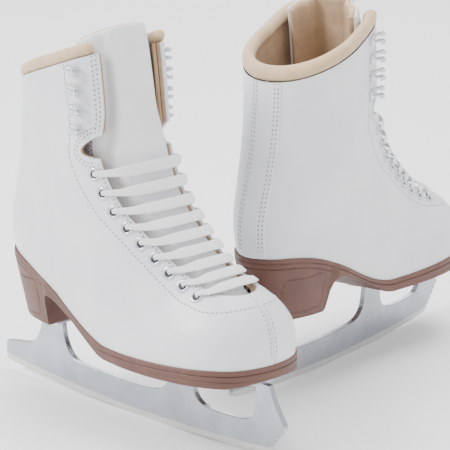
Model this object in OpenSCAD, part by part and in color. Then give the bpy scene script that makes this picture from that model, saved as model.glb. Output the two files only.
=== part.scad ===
// A pair of lace-up figure skates. Each skate is drawn in its own frame: x forward from the
// tail of the blade, y to the skater's left, z up from the ice. The left skate is the mirror
// image of the right one, stands behind it and points across it.

/* [Pair] */
// Turn of the left skate from the right skate's heading, degrees
pair_turn = 100; // [90:1:110]
// Tail of the left blade ahead of the right blade's tail
pair_x = 167.5; // [150:1:200]
// Tail of the left blade to the left of the right blade
pair_y = 49; // [40:1:80]

/* [Blade] */
// Length of the blade from its tail to the front of the toe picks
blade_l = 264; // [262:0.5:266]
// Thickness of the runner
blade_t = 4; // [3:0.1:5]
// Radius of the rocker under the runner
rocker_r = 1300; // [1000:50:2200]
// Height of the runner's top edge below the windows
runner_h = 21; // [18:0.5:23]
// Thickness of the two mounting plates
plate_t = 2; // [1.5:0.1:3]

/* [Sole] */
// Height of the flat underside of the forefoot
sole_z = 51; // [49:0.5:53]
// Height of the underside of the heel
heel_z = 53; // [51:0.5:55]
// How far the sole stands out round the upper
welt = 1.4; // [0.5:0.1:2.5]

/* [Upper] */
// Thickness of the outer leather
leather_t = 2; // [1.5:0.1:2.1]
// Depth of the lining's inner face below the outer surface
lining_d = 6.2; // [5.5:0.1:6.4]
// Half width of the throat at the top of the boot
throat_top = 27; // [25:0.5:28]
// Half width of the throat at the ankle
throat_ankle = 31; // [29:0.5:32]
// Half width of the throat near the toe
throat_toe = 19; // [16:0.5:20]
// Height of the padded collar above the leather
collar_h = 9.6; // [7:0.1:10]

/* [Lacing] */
// Number of eyelets on each side
eyelet_n = 9; // [7:1:9]
// Number of hooks on each side
hook_n = 4; // [2:1:4]
// Width of the flat lace
lace_w = 7.6; // [5:0.1:9]
// Thickness of the lace
lace_t = 1.3; // [1:0.1:1.6]

/* [Hidden] */
$fn = 48;

lateral = -1;
medial = 1;
seam_gap = 0.3;
layer_gap = 0.15;
stiffener_t = 1;
stiffener_d = leather_t + 0.95;
lining_top_d = stiffener_d + stiffener_t + layer_gap;
board_t = 2;
shank_t = 1.2;
footbed_t = 3;
board_up = shank_t + 0.3;
footbed_up = board_up + board_t + 0.2;

// The upper is a stack of slanted sections. Each row holds one section: its front point x, z,
// its back point x, z, its half width, the place of its widest point as a share of its length
// from the back, and the squareness of its front half.
SECTIONS = [
    [130.5, 262, 40, 232, 38, 0.5, 4.2],
    [134.5, 245.5, 39.5, 213, 38, 0.5, 4.1],
    [138.5, 223.5, 38.5, 195, 37.5, 0.5, 3.9],
    [142.5, 201, 36.5, 177, 37, 0.5, 3.6],
    [148, 181, 32.5, 159, 37, 0.5, 3.3],
    [156, 164, 26.5, 141, 36.5, 0.5, 3.2],
    [167, 149, 21, 120, 36, 0.47, 3.1],
    [180, 137, 22.5, 100, 35.5, 0.44, 3],
    [193, 126.5, 32, 74, 34.5, 0.42, 2.9],
    [206, 117, 52, 50, 35, 0.42, 2.7],
    [219, 109.5, 85, 35, 37.5, 0.42, 2.6],
    [231, 104, 118, 25, 43, 0.42, 2.5],
    [240.5, 98, 150, 22, 44, 0.48, 2.4],
    [247.5, 90, 180, 22, 41, 0.55, 2.3],
    [251.5, 79, 205, 22, 34, 0.6, 2.2],
    [253, 64, 220, 20, 27, 0.62, 2.1]
];
back_round = 2.1;
u_top = 1;
throat_close = 10;
throat_end = 11.05;
notch_u = 3.65;
notch_half = 0.36;
notch_depth = 15;
hinge_u = 3.95;

function clamp01(t) = min(max(t, 0), 1);
function smooth(t) = clamp01(t) * clamp01(t) * (3 - 2 * clamp01(t));
function mix(a, b, t) = a + (b - a) * t;
function unit(v) = v / norm(v);

// A smooth curve through a list of values, one unit of t apart
function through(a, b, c, d, t) =
    0.5 * (2 * b + (c - a) * t + (2 * a - 5 * b + 4 * c - d) * t * t
    + (3 * b - a - 3 * c + d) * t * t * t);
function section(u) =
    let (n = len(SECTIONS) - 1, i = min(floor(u), n - 1))
    through(SECTIONS[max(i - 1, 0)], SECTIONS[i], SECTIONS[i + 1],
        SECTIONS[min(i + 2, n)], u - i);

// The feather line, where the upper meets the sole: high at the heel, low at the ball
feather_heel = 98;
feather_ball = 60;
feather_toe = 63;
arch_x = 146;
arch_l = 112;
toe_x = 253;
function feather(x) =
    x < arch_x
    ? mix(feather_ball, feather_heel, smooth(pow(clamp01((arch_x - x) / arch_l), 0.9)))
    : mix(feather_ball, feather_toe, pow((x - arch_x) / (toe_x - arch_x), 1.4));

// The foot's middle line swings to the outside at the ball and to the inside at the toe
toe_swing = 1;
ball_swing = 7;
function middle_y(x) =
    let (t = clamp01((x - 90) / 160))
    toe_swing * t * t * t - ball_swing * sin(180 * t) * (1 - t);

// A point of section q at angle v (0 at the front, 180 at the back), inset by d, on one side
function skin(q, v, d, side, gap = seam_gap / 2) =
    let (front = [q[0], q[1]], back = [q[2], q[3]], whole = norm(front - back),
        along = (front - back) / whole, l = whole - 2 * d, n = v < 90 ? q[6] : back_round,
        c = cos(v), s = max(sin(v), 0), r = pow(pow(abs(c), n) + pow(s, n), -1 / n),
        p = v < 90 ? l * (q[5] + (1 - q[5]) * c * r) : l * q[5] * (1 + c * r),
        y = max((q[4] - d) * s * r, gap), xz = back + along * (d + p))
    [xz[0], side * y + middle_y(xz[0]), xz[1]];

// The angle from the end of a section of squareness n at which it is as wide as y
function angle_at_width(q, y, n) =
    let (r = y / q[4])
    r < 0.002 ? 0 : r > 0.999 ? 88 : atan(1 / pow(pow(r, -n) - 1, 1 / n));

// The angle a given distance round the skin from angle v
function angle_past(q, v, far, lo, hi, k = 0) =
    let (a = (lo + hi) / 2)
    k > 16 ? a
    : norm(skin(q, a, 0, 1) - skin(q, v, 0, 1)) < far
    ? angle_past(q, v, far, a, hi, k + 1)
    : angle_past(q, v, far, lo, a, k + 1);
function further(q, v, far) = far < 0.01 ? v : angle_past(q, v, far, v, v + 90);

// The angle at which section q, inset by d, comes down to the feather line raised by up
function foot_angle(q, d, up, lo = 0, hi = 180, k = 0) =
    let (a = (lo + hi) / 2, p = skin(q, a, d, 1))
    k > 20 ? a
    : p[2] > feather(p[0]) + up
    ? foot_angle(q, d, up, a, hi, k + 1)
    : foot_angle(q, d, up, lo, a, k + 1);

// Half width of the throat, and the angle of its edge with the flex notch cut in it
function throat_y(u) =
    mix(mix(throat_top, throat_ankle, smooth((u - 2.5) / 1.5)), throat_toe, smooth((u - 3.5) / 6.5))
    * sqrt(max(0, 1 - pow(clamp01((u - throat_close) / (throat_end - throat_close)), 2)));
function plain_edge(u) = angle_at_width(section(u), throat_y(u), section(u)[6]);
function notch(u) = sqrt(max(0, 1 - pow((u - notch_u) / notch_half, 2)));
function edge_angle(u) = further(section(u), plain_edge(u), notch_depth * notch(u));

// Eyelets and hooks: where each sits along the boot, and how far behind the throat's edge
eyelet_back = 8;
hook_back = 24;
function eyelet_u(i) = 4.52 + i * 5.65 / (eyelet_n - 1);
function hook_u(i) = 1.28 + i * 1.71 / (hook_n - 1);
function eyelet_v(i) = further(section(eyelet_u(i)), plain_edge(eyelet_u(i)), eyelet_back);
function hook_v(i) = further(section(hook_u(i)), plain_edge(hook_u(i)), hook_back);
function place_at(u, v, d, side) = skin(section(u), v, d, side);
function toe_along(u, v, side) = unit(place_at(u + 0.05, v, 0, side) - place_at(u - 0.05, v, 0, side));
function round_along(u, v, side) = unit(place_at(u, v + 1, 0, side) - place_at(u, v - 1, 0, side));
function outward(u, v, side) = side * unit(cross(toe_along(u, v, side), round_along(u, v, side)));

// Stations along the boot, closer together at the notch, the heel and the ends
SHELL_U = [
    1, 1.6, 2.3, 3, 3.2, 3.29, 3.31, 3.36, 3.45, 3.65, 3.85, 3.94, 3.99, 4.01, 4.2, 4.7,
    5.4, 6.1, 6.7, 7.05, 7.15, 7.3, 7.5, 7.8, 8.2, 8.7, 9.2, 9.8, 10.3, 10.75,
    10.92, 11.03, 11.3, 11.8, 12.4, 12.9, 13.4, 13.8, 14.2, 14.5, 14.75, 14.93
];

// A closed slab between two grids of points that match row for row
module slab(outer, inner, flip) {
    rows = len(outer);
    cols = len(outer[0]);
    n = rows * cols;
    function at(i, j) = i * cols + j;
    quads = concat(
        [for (i = [0:rows - 2], j = [0:cols - 2])
            [at(i, j), at(i + 1, j), at(i + 1, j + 1), at(i, j + 1)]],
        [for (i = [0:rows - 2], j = [0:cols - 2])
            [n + at(i, j), n + at(i, j + 1), n + at(i + 1, j + 1), n + at(i + 1, j)]],
        [for (i = [0:rows - 2]) [at(i, 0), n + at(i, 0), n + at(i + 1, 0), at(i + 1, 0)]],
        [for (i = [0:rows - 2], j = [cols - 1])
            [at(i, j), at(i + 1, j), n + at(i + 1, j), n + at(i, j)]],
        [for (j = [0:cols - 2]) [at(0, j), at(0, j + 1), n + at(0, j + 1), n + at(0, j)]],
        [for (i = [rows - 1], j = [0:cols - 2])
            [at(i, j), n + at(i, j), n + at(i, j + 1), at(i, j + 1)]]
    );
    faces = [for (q = quads) each [[q[0], q[1], q[2]], [q[0], q[2], q[3]]]];
    points = concat([for (r = outer) each r], [for (r = inner) each r]);
    polyhedron(points, flip ? [for (f = faces) [f[2], f[1], f[0]]] : faces);
}

// One side of a layer that runs from the throat's edge round to the back seam or the sole
function half_grid(us, cols, d, up, side) = [
    for (u = us)
        let (q = section(u), a = edge_angle(u), b = foot_angle(q, d, up))
        [for (j = [0:cols]) skin(q, mix(a, b, j / cols), d, side)]
];
// One side of a layer that fills angles given for each station by a list of pairs
function band_grid(us, spans, cols, d, side) = [
    for (i = [0:len(us) - 1])
        let (q = section(us[i]))
        [for (j = [0:cols]) skin(q, mix(spans[i][0], spans[i][1], j / cols), d, side)]
];
// Both sides of a layer in one sheet, from angle a on one side across angle b to the other
function wrap_row(u, angles, d) =
    let (q = section(u))
    [for (a = angles) skin(q, abs(a), d, a < 0 ? lateral : medial)];

// Stand a shape on the boot's skin with its z axis along the outward normal
module on_skin(u, v, side) {
    n = outward(u, v, side);
    t = toe_along(u, v, side);
    w = unit(cross(n, t));
    p = place_at(u, v, 0, side);
    multmatrix([
        [t[0], w[0], n[0], p[0]],
        [t[1], w[1], n[1], p[1]],
        [t[2], w[2], n[2], p[2]]
    ]) children();
}
module eyelet_places(side) {
    for (i = [0:eyelet_n - 1]) on_skin(eyelet_u(i), eyelet_v(i), side) children();
}
module hook_places(side) {
    for (i = [0:hook_n - 1]) on_skin(hook_u(i), hook_v(i), side) children();
}

// Ring after ring of points joined into one closed tube with flat ends
module tube(rings, flip) {
    n = len(rings);
    k = len(rings[0]);
    function at(i, j) = i * k + j % k;
    sides = [
        for (i = [0:n - 2], j = [0:k - 1])
            each [[at(i, j), at(i + 1, j), at(i + 1, j + 1)],
                [at(i, j), at(i + 1, j + 1), at(i, j + 1)]]
    ];
    ends = [for (j = [1:k - 2]) each [[at(0, 0), at(0, j), at(0, j + 1)],
        [at(n - 1, 0), at(n - 1, j + 1), at(n - 1, j)]]];
    faces = concat(sides, ends);
    polyhedron([for (r = rings) each r], flip ? [for (f = faces) [f[2], f[1], f[0]]] : faces);
}

// ---- Blade and plates ----

rocker_x = 145;
picks = 5;
pick_top = [blade_l - 0.5, 22];
pick_tip = [249.5, 6];
pick_depth = 1.7;
module blade_outline() {
    edge = pick_tip - pick_top;
    inward = unit([edge[1], -edge[0]]);
    polygon([
        [0, 0], [0, 20.5], [1.5, 22], [14, 23.5], [26, 25.5], [32, 29.5], [37, 39],
        [38.5, heel_z - plate_t], [60, heel_z - plate_t], [58.5, 46], [60.5, 35], [66, 26],
        [74, runner_h + 1], [100, runner_h], [130, runner_h], [150, runner_h + 1], [158, 26],
        [162.5, 33], [164, sole_z - plate_t], [187, sole_z - plate_t], [183.5, 40],
        [183.5, 31], [187, 25], [194, runner_h + 0.4], [212, runner_h], [229, runner_h + 0.6],
        [236.5, 25], [240, 33], [239.5, sole_z - plate_t], [251, sole_z - plate_t], [256, 37],
        [blade_l, 26], [blade_l, 23],
        for (i = [0:picks - 1])
            each [pick_top + edge * (i + 0.35) / picks + inward * pick_depth,
                pick_top + edge * (i + 1) / picks],
        [244, 4.6], [236, 3.4], [228, 0]
    ]);
}
module blade() {
    color("silver")
        translate([0, blade_t / 2, 0])
            rotate([90, 0, 0])
                linear_extrude(blade_t)
                    intersection() {
                        blade_outline();
                        translate([rocker_x, rocker_r]) circle(rocker_r, $fn = 720);
                    }
}

screw_r = 1.9;
head_r = 3.4;
head_h = 1.5;
screw_clear = 0.1;
sole_plate_y = 1;
sole_screws = [[160, -9], [160, 9], [196, -16], [196, 16], [232, -15], [232, 15]];
heel_screws = [[44, -9], [44, 9], [64, -10], [64, 10]];
module screw_holes(places) {
    for (p = places) translate(p) circle(screw_r + screw_clear);
}
module sole_plate() {
    color("silver")
        translate([0, sole_plate_y, sole_z - plate_t])
            linear_extrude(plate_t)
                difference() {
                    union() {
                        translate([226, 0]) circle(20);
                        translate([160, 0]) circle(14);
                        polygon([[158, -14], [224, -20], [224, 20], [158, 14]]);
                    }
                    screw_holes(sole_screws);
                }
}
module heel_plate() {
    color("silver")
        translate([0, 0, heel_z - plate_t])
            linear_extrude(plate_t)
                difference() {
                    union() {
                        translate([48, 0]) circle(15);
                        translate([48, -15]) square([22, 30]);
                    }
                    screw_holes(heel_screws);
                }
}
module screws(places, z, length) {
    for (p = places)
        translate([p[0], p[1], z]) {
            translate([0, 0, -plate_t - head_h]) cylinder(h = head_h, r = head_r);
            translate([0, 0, -plate_t]) cylinder(h = plate_t + length, r = screw_r);
        }
}
sole_screw_l = 6.5;
heel_screw_l = 16;
module sole_plate_screws() {
    color("dimgray") translate([0, sole_plate_y, 0]) screws(sole_screws, sole_z, sole_screw_l);
}
module heel_plate_screws() {
    color("dimgray") screws(heel_screws, heel_z, heel_screw_l);
}

// ---- Sole and what lies on it ----

reach = 140;
heel_half = 26;
heel_back = 28;
heel_front = 72;
// The outline of the foot at the feather line, inset by d
OUTLINE_U = [for (k = [0:46]) 7.08 + 7.86 * pow(k / 46, 1.8)];
function outline_side(d, side) = [
    for (u = OUTLINE_U)
        let (q = section(u), p = skin(q, foot_angle(q, d, 0), d, side))
        [p[0], p[1]]
];
function outline(d) =
    let (a = outline_side(d, lateral), b = outline_side(d, medial), n = len(a))
    concat(a, [for (i = [0:n - 1]) b[n - 1 - i]]);
// A layer that follows the feather line from x0 to x1, between two heights above it
module footing(x0, x1, low, high, d) {
    steps = 28;
    xs = [for (i = [0:steps]) mix(x0, x1, i / steps)];
    intersection() {
        linear_extrude(reach) polygon(outline(d));
        translate([0, reach / 2, 0])
            rotate([90, 0, 0])
                linear_extrude(reach)
                    polygon(concat(
                        [for (x = xs) [x, feather(x) + low]],
                        [for (i = [0:steps]) let (x = xs[steps - i]) [x, feather(x) + high]]
                    ));
    }
}
// The wedge that comes off one side of the heel to make it narrower at the ground
module heel_taper() {
    translate([-reach, 0, 0])
        rotate([90, 0, 90])
            linear_extrude(reach + 78)
                polygon([[heel_half, 0], [heel_half, heel_z], [heel_half + 10, 94], [60, 94],
                    [60, 0]]);
}
module sole_unit() {
    steps = 40;
    front_x = toe_x + 5;
    top = [for (i = [0:steps]) let (x = mix(18, front_x, i / steps)) [x, feather(x) - 0.1]];
    color("saddlebrown")
        difference() {
            intersection() {
                linear_extrude(reach) polygon(outline(-welt));
                translate([0, reach / 2, 0])
                    rotate([90, 0, 0])
                        linear_extrude(reach)
                            polygon(concat(
                                top,
                                [[front_x, sole_z + 4], [249, sole_z + 1.2], [242, sole_z],
                                [146, sole_z], [139, sole_z + 1], [131, 55], [122, 60],
                                [111, 66], [99, 71], [88, 75], [80, 77], [76, 74.5], [73, 67],
                                [heel_front, heel_z], [heel_back, heel_z]]
                            ));
            }
            heel_taper();
            mirror([0, 1, 0]) heel_taper();
            translate([0, 0, -1])
                linear_extrude(sole_z + sole_screw_l + 1.5)
                    translate([0, sole_plate_y]) screw_holes(sole_screws);
            translate([0, 0, -1])
                linear_extrude(heel_z + heel_screw_l + 1.5) screw_holes(heel_screws);
        }
}
shank_w = 13;
module shank() {
    color("gray")
        intersection() {
            footing(50, 158, 0.1, 0.1 + shank_t, stiffener_d + 2);
            translate([40, -shank_w / 2 - 1, 0]) cube([130, shank_w, 140]);
        }
}
inner_d = lining_d + 1.2;
module insole_board() {
    color("tan") footing(18, 260, board_up, board_up + board_t, inner_d);
}
module footbed() {
    color("wheat") footing(18, 260, footbed_up, footbed_up + footbed_t, lining_d + 1.6);
}

// ---- Upper ----

tube_r = 2.85;
bore_r = 2.4;
rivet_r = 1.6;
fit = 0.08;
module lacing_bores(side) {
    eyelet_places(side) translate([0, 0, -12]) cylinder(h = 16, r = tube_r + fit);
    hook_places(side) translate([0, 0, -12]) cylinder(h = 16, r = rivet_r + fit);
}
module half_layer(d0, d1, up, side, cols = 10) {
    difference() {
        slab(half_grid(SHELL_U, cols, d0, up, side), half_grid(SHELL_U, cols, d1, up, side),
            side == medial);
        lacing_bores(side);
    }
}
module lateral_upper() {
    color("white") half_layer(0, leather_t, 0, lateral);
}
module medial_upper() {
    color("white") half_layer(0, leather_t, 0, medial);
}
LINING_U = [
    1, 2, 3, 3.29, 3.31, 3.4, 3.65, 3.9, 3.99, 4.01, 4.5, 5.3, 6.2, 7, 7.3, 7.7, 8.4, 9.2, 10,
    10.5, 10.8, 11.03, 11.6, 12.4, 13.2, 13.9, 14.3, 14.55
];
module lining() {
    color("burlywood")
        for (side = [lateral, medial])
            difference() {
                slab(half_grid(LINING_U, 8, lining_top_d, footbed_up, side),
                    half_grid(LINING_U, 8, lining_d, footbed_up, side), side == medial);
                lacing_bores(side);
            }
}

STAY_U = [
    1, 1.8, 2.6, 3.29, 3.31, 3.4, 3.65, 3.9, 3.99, 4.01, 4.6, 5.4, 6.4, 7.4, 8.4, 9.4, 10,
    10.5, 10.8
];
function stay_end(u) = further(section(u), plain_edge(u), mix(30, 17, smooth((u - 3) / 2)));
module eyestay(side) {
    spans = [for (u = STAY_U) [edge_angle(u), stay_end(u)]];
    color("ivory")
        difference() {
            slab(band_grid(STAY_U, spans, 4, stiffener_d, side),
                band_grid(STAY_U, spans, 4, stiffener_d + stiffener_t, side), side == medial);
            lacing_bores(side);
        }
}

// Angles from one side round the back to the other, and from one side over the top
function round_back(a, n) = concat(
    [for (j = [0:n]) -mix(a, 180, j / n)], [for (j = [0:n]) mix(180, a, j / n)]);
function over_top(a, n) = concat(
    [for (j = [0:n]) -mix(a, 0.5, j / n)], [for (j = [0:n]) mix(0.5, a, j / n)]);

module heel_counter() {
    us = [5.2, 5.6, 6, 6.4, 6.8, 7];
    color("sienna")
        slab([for (u = us) wrap_row(u, round_back(102, 7), stiffener_d)],
            [for (u = us) wrap_row(u, round_back(102, 7), stiffener_d + stiffener_t)], false);
}
module toe_puff() {
    us = [12.4, 12.8, 13.2, 13.6, 13.9, 14.2, 14.45, 14.65];
    color("sienna")
        slab([for (u = us) wrap_row(u, over_top(foot_angle(section(u), stiffener_d, 1), 7),
                stiffener_d)],
            [for (u = us) wrap_row(u, over_top(foot_angle(section(u), stiffener_d, 1), 7),
                stiffener_d + stiffener_t)], true);
}
backstay_w = 11;
backstay_t = 1;
module backstay() {
    us = [1, 2, 3, 4, 4.6, 5.2, 5.8, 6.4, 7];
    function edge(u) = 180 - angle_at_width(section(u), backstay_w, back_round);
    color("white")
        slab([for (u = us) wrap_row(u, round_back(edge(u), 3), -layer_gap - backstay_t)],
            [for (u = us) wrap_row(u, round_back(edge(u), 3), -layer_gap)], false);
}

collar_d = 3.7;
collar_half = 4.4;
module collar_roll() {
    q = section(u_top);
    a = plain_edge(u_top) + 4;
    sides = 10;
    rise = collar_h / 2;
    color("burlywood")
        tube([
            for (v = round_back(a, 16))
                [for (k = [0:sides - 1])
                    skin(q, abs(v), collar_d - collar_half * cos(360 * k / sides),
                        v < 0 ? lateral : medial)
                    + [0, 0, rise * (1 + sin(360 * k / sides)) + 0.3]]
        ], false);
}

// ---- Lacing ----

flange_r = 4.4;
flange_t = 0.6;
tube_l = 4.4;
module eyelets() {
    color("white")
        for (side = [lateral, medial])
            eyelet_places(side)
                difference() {
                    union() {
                        translate([0, 0, 0.3]) cylinder(h = flange_t, r = flange_r);
                        translate([0, 0, -tube_l]) cylinder(h = tube_l + 0.5, r = tube_r);
                    }
                    translate([0, 0, -lining_d - 1]) cylinder(h = lining_d + 4, r = bore_r);
                }
}
hook_base_r = 3.6;
hook_h = 3.6;
module hooks() {
    color("white")
        for (side = [lateral, medial])
            hook_places(side) {
                translate([0, 0, -lining_top_d]) cylinder(h = lining_top_d + 1, r = rivet_r);
                translate([0, 0, 0.15]) cylinder(h = 0.9, r = hook_base_r);
                translate([-2.5, -side * 1 - 2, 0.5]) cube([5, 1.4, hook_h]);
                translate([-3, side * 3.4 - side * 1 - 5, hook_h]) cube([6, 7, 1]);
            }
}

// The lace runs across over the tongue from one eyelet to its partner, down through it, up
// inside the boot to the next eyelet, and across again. Both ends are tucked inside.
run_w = 1.8;
over_d = -2.1;
function under_d(i) = lining_d + mix(1.9, 1.3, i / (eyelet_n - 1));
function ring(p, tangent, across, w, t) =
    let (a = unit(across - tangent * (across * tangent)), b = cross(tangent, a))
    [p + a * w / 2 + b * t / 2, p + a * w / 2 - b * t / 2,
        p - a * w / 2 - b * t / 2, p - a * w / 2 + b * t / 2];
function bar_side(i) = i % 2 == 0 ? lateral : medial;
// Route points as [point, across, width, thickness]
function bar_points(i) =
    let (u = eyelet_u(i), v = eyelet_v(i), s = bar_side(i), g = i % 2 == 0 ? 1 : -1,
        n0 = outward(u, v, s), n1 = outward(u, v, -s), up = toe_along(u, v, s),
        e0 = place_at(u, v, 0, s), e1 = place_at(u, v, 0, -s),
        r0 = round_along(u, v, s), r1 = round_along(u, v, -s),
        inner = v - 7)
    concat(
        [[e0 - n0 * (under_d(i) - 0.5), g * (up + n0), run_w, run_w],
            [e0 - n0 * 4, g * up, run_w, run_w],
            [e0 + n0 * 0.9, g * up, run_w, run_w],
            [e0 + n0 * 2.4 - r0, g * up, 2.6, 1.5]],
        [for (k = [0:8])
            let (a = mix(inner, -inner, k / 8))
            [place_at(u, abs(a), over_d - (abs(k - 4) > 3.5 ? 0.5 : 0), a > 0 ? s : -s),
                g * up, lace_w, lace_t]],
        [[e1 + n1 * 2.4 - r1, g * up, 2.6, 1.5],
            [e1 + n1 * 0.9, g * up, run_w, run_w],
            [e1 - n1 * 4, g * up, run_w, run_w],
            [e1 - n1 * (under_d(i) - 0.5), g * (up - n1), run_w, run_w]]
    );
function run_point(i) =
    let (u = (eyelet_u(i) + eyelet_u(i - 1)) / 2, v = (eyelet_v(i) + eyelet_v(i - 1)) / 2,
        s = -bar_side(i), g = i % 2 == 0 ? 1 : -1)
    [place_at(u, v, under_d(i), s), -g * outward(u, v, s), run_w, run_w];
function lace_route() = [
    for (k = [0:eyelet_n - 1])
        let (i = eyelet_n - 1 - k)
        each concat(bar_points(i), i > 0 ? [run_point(i)] : [])
];
module lace() {
    route = lace_route();
    n = len(route);
    function tangent(i) = unit(route[min(i + 1, n - 1)][0] - route[max(i - 1, 0)][0]);
    color("white")
        tube([for (i = [0:n - 1])
            ring(route[i][0], tangent(i), route[i][1], route[i][2], route[i][3])], true);
}

// ---- Tongue ----

tongue_t = 4.2;
tongue_lining_t = 2.4;
tongue_side_d = 9;
tongue_centre_d = 3.4;
tongue_end = 11.9;
tongue_low_u = 0.2;
corner_drop = 0.22;
flex_gap = 0.75;
flex_clear = 0.03;
function tongue_edge(u) = max(plain_edge(u) + mix(21, 15, smooth((u - 3) / 2)), 24);
function tongue_depth(u, a) =
    mix(tongue_centre_d, tongue_side_d,
        max(smooth((a - plain_edge(u) + 15) / 11), smooth((u - 10) / 0.8)));
// A grid whose first and last rows bend with the angle across the tongue
function tongue_grid(u0, u1, bend0, bend1, rows, d) = [
    for (i = [0:rows])
        [for (j = [-6:6])
            let (t = abs(j) / 6, u = mix(u0 + bend0 * t * t, u1 + bend1 * t * t, i / rows),
                a = tongue_edge(u) * t)
            skin(section(u), a, tongue_depth(u, a) + d, j < 0 ? lateral : medial, 0)]
];
module tongue_sheet(u0, u1, bend0, bend1, rows, d0, d1) {
    slab(tongue_grid(u0, u1, bend0, bend1, rows, d0),
        tongue_grid(u0, u1, bend0, bend1, rows, d1), true);
}
module tongue_top() {
    color("white")
        tongue_sheet(tongue_low_u, hinge_u - flex_clear, corner_drop, 0, 7, 0, tongue_t);
}
module tongue_top_lining() {
    color("tan")
        tongue_sheet(tongue_low_u, hinge_u - flex_clear, corner_drop, 0, 7,
            tongue_t + layer_gap, tongue_t + layer_gap + tongue_lining_t);
}
module tongue_base() {
    color("white")
        tongue_sheet(hinge_u + flex_clear, tongue_end, flex_gap, 0, 10, 0, tongue_t);
}
module tongue_base_lining() {
    color("tan")
        tongue_sheet(hinge_u + flex_clear, tongue_end, flex_gap, 0, 10,
            tongue_t + layer_gap, tongue_t + layer_gap + tongue_lining_t);
}

// ---- The pair, with the middle of its base at the origin ----

low_y = min([for (p = outline(-welt)) p[1]]);
tip = [blade_l - 0.5, blade_t / 2];
high_y = pair_y + tip[0] * sin(pair_turn) - tip[1] * cos(pair_turn);
centre = [blade_l / 2, (low_y + high_y) / 2, 0];
module right_skate() {
    translate(-centre) children();
}
module left_skate() {
    translate([pair_x, pair_y, 0] - centre) rotate(pair_turn) mirror([0, 1, 0]) children();
}

right_skate() blade();  // right_blade
right_skate() sole_plate();  // right_sole_plate
right_skate() heel_plate();  // right_heel_plate
right_skate() sole_plate_screws();  // right_sole_plate_screws
right_skate() heel_plate_screws();  // right_heel_plate_screws
right_skate() sole_unit();  // right_sole_unit
right_skate() shank();  // right_shank
right_skate() insole_board();  // right_insole_board
right_skate() footbed();  // right_footbed
right_skate() lateral_upper();  // right_lateral_upper
right_skate() medial_upper();  // right_medial_upper
right_skate() backstay();  // right_backstay
right_skate() heel_counter();  // right_heel_counter
right_skate() toe_puff();  // right_toe_puff
right_skate() eyestay(lateral);  // right_lateral_eyestay
right_skate() eyestay(medial);  // right_medial_eyestay
right_skate() lining();  // right_lining
right_skate() collar_roll();  // right_collar_roll
right_skate() eyelets();  // right_eyelets
right_skate() hooks();  // right_hooks
right_skate() lace();  // right_lace
right_skate() tongue_base();  // right_tongue_base
right_skate() tongue_base_lining();  // right_tongue_base_lining
right_skate() tongue_top();  // right_tongue_top
right_skate() tongue_top_lining();  // right_tongue_top_lining
left_skate() blade();  // left_blade
left_skate() sole_plate();  // left_sole_plate
left_skate() heel_plate();  // left_heel_plate
left_skate() sole_plate_screws();  // left_sole_plate_screws
left_skate() heel_plate_screws();  // left_heel_plate_screws
left_skate() sole_unit();  // left_sole_unit
left_skate() shank();  // left_shank
left_skate() insole_board();  // left_insole_board
left_skate() footbed();  // left_footbed
left_skate() lateral_upper();  // left_lateral_upper
left_skate() medial_upper();  // left_medial_upper
left_skate() backstay();  // left_backstay
left_skate() heel_counter();  // left_heel_counter
left_skate() toe_puff();  // left_toe_puff
left_skate() eyestay(lateral);  // left_lateral_eyestay
left_skate() eyestay(medial);  // left_medial_eyestay
left_skate() lining();  // left_lining
left_skate() collar_roll();  // left_collar_roll
left_skate() eyelets();  // left_eyelets
left_skate() hooks();  // left_hooks
left_skate() lace();  // left_lace
left_skate() tongue_base();  // left_tongue_base
left_skate() tongue_base_lining();  // left_tongue_base_lining
left_skate() tongue_top();  // left_tongue_top
left_skate() tongue_top_lining();  // left_tongue_top_lining
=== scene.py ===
import math
import random
import bmesh
import bpy
import numpy as np
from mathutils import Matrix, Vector


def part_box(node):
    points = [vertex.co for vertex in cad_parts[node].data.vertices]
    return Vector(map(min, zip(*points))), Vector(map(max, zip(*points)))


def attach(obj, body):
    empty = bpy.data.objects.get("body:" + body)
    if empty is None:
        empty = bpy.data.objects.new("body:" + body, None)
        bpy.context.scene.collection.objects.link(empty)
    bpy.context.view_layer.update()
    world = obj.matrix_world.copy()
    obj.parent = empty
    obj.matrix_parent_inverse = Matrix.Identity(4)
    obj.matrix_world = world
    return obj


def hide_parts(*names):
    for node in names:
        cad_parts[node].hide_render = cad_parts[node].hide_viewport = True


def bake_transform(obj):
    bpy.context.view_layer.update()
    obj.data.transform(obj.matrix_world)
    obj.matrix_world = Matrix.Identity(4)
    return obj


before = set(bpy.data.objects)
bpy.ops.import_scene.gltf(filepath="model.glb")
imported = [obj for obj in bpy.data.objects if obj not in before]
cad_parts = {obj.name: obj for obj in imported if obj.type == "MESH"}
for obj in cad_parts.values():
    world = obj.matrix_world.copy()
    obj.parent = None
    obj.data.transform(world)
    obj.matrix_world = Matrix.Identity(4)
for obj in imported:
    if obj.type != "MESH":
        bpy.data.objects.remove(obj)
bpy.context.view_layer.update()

# ---------------------------------------------------------------- sizes, in millimetres
PAIR_TURN, PAIR_X, PAIR_Y = 100.0, 167.5, 49.0
BLADE_L, BLADE_T, ROCKER_R, ROCKER_X = 264.0, 4.0, 1300.0, 145.0
SOLE_Z, HEEL_Z, WELT = 51.0, 53.0, 1.4
LEATHER_T, LINING_D = 2.0, 6.2
EYESTAY_D = (2.05, 3.95)
THROAT_TOP, THROAT_ANKLE, THROAT_TOE = 27.0, 31.0, 19.0
COLLAR_H = 9.6
EYELET_N, HOOK_N = 9, 4
LACE_W, LACE_T = 7.6, 1.3
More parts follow.
